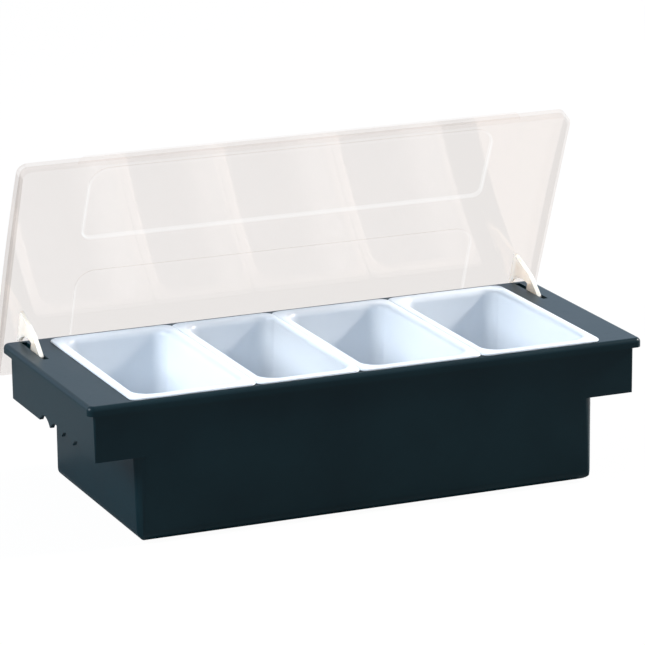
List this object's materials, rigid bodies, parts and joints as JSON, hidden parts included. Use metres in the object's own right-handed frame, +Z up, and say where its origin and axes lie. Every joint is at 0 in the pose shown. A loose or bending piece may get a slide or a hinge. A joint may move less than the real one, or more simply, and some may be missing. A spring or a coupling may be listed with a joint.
{
  "type": "condiment caddy",
  "caption": "Long countertop condiment caddy: a dark tub with side grips, white lift-out inserts hung in its deck and one clear hinged lid standing open behind them.",
  "frame": {"origin": "centre of the housing's footprint, on the surface that the feet stand on", "axes": "+X along the length to the right as seen from the front, +Y to the back where the lid is hinged, +Z up"},
  "size_m": [0.3944, 0.1825, 0.232],
  "materials": {
    "housing": "semi-gloss moulded plastic, dark teal",
    "lid": "clear polished plastic",
    "insert": "smooth white moulded plastic",
    "foot": "matt"
  },
  "bodies": {
    "base": {"housing": "housing", "foot_front_left": "foot", "foot_front_right": "foot", "foot_back_left": "foot", "foot_back_right": "foot"},
    "lid": {"lid": "lid", "lid_arm_left": "lid", "lid_arm_right": "lid"},
    "insert_left": {"insert_left": "insert"},
    "insert_mid_left": {"insert_mid_left": "insert"},
    "insert_mid_right": {"insert_mid_right": "insert"},
    "insert_right": {"insert_right": "insert"}
  },
  "joints": [
    {"name": "lid_hinge", "type": "hinge", "parent": "base", "child": "lid", "pos_m": [0, 0.068, 0.076], "axis": [-1, 0, 0], "range_deg": [-68, 40]},
    {"name": "insert_left_lift", "type": "slide", "parent": "base", "child": "insert_left", "axis": [0, 0, 1], "range_m": [0, 0.03]},
    {"name": "insert_mid_left_lift", "type": "slide", "parent": "base", "child": "insert_mid_left", "axis": [0, 0, 1], "range_m": [0, 0.03]},
    {"name": "insert_mid_right_lift", "type": "slide", "parent": "base", "child": "insert_mid_right", "axis": [0, 0, 1], "range_m": [0, 0.03]},
    {"name": "insert_right_lift", "type": "slide", "parent": "base", "child": "insert_right", "axis": [0, 0, 1], "range_m": [0, 0.03]}
  ]
}
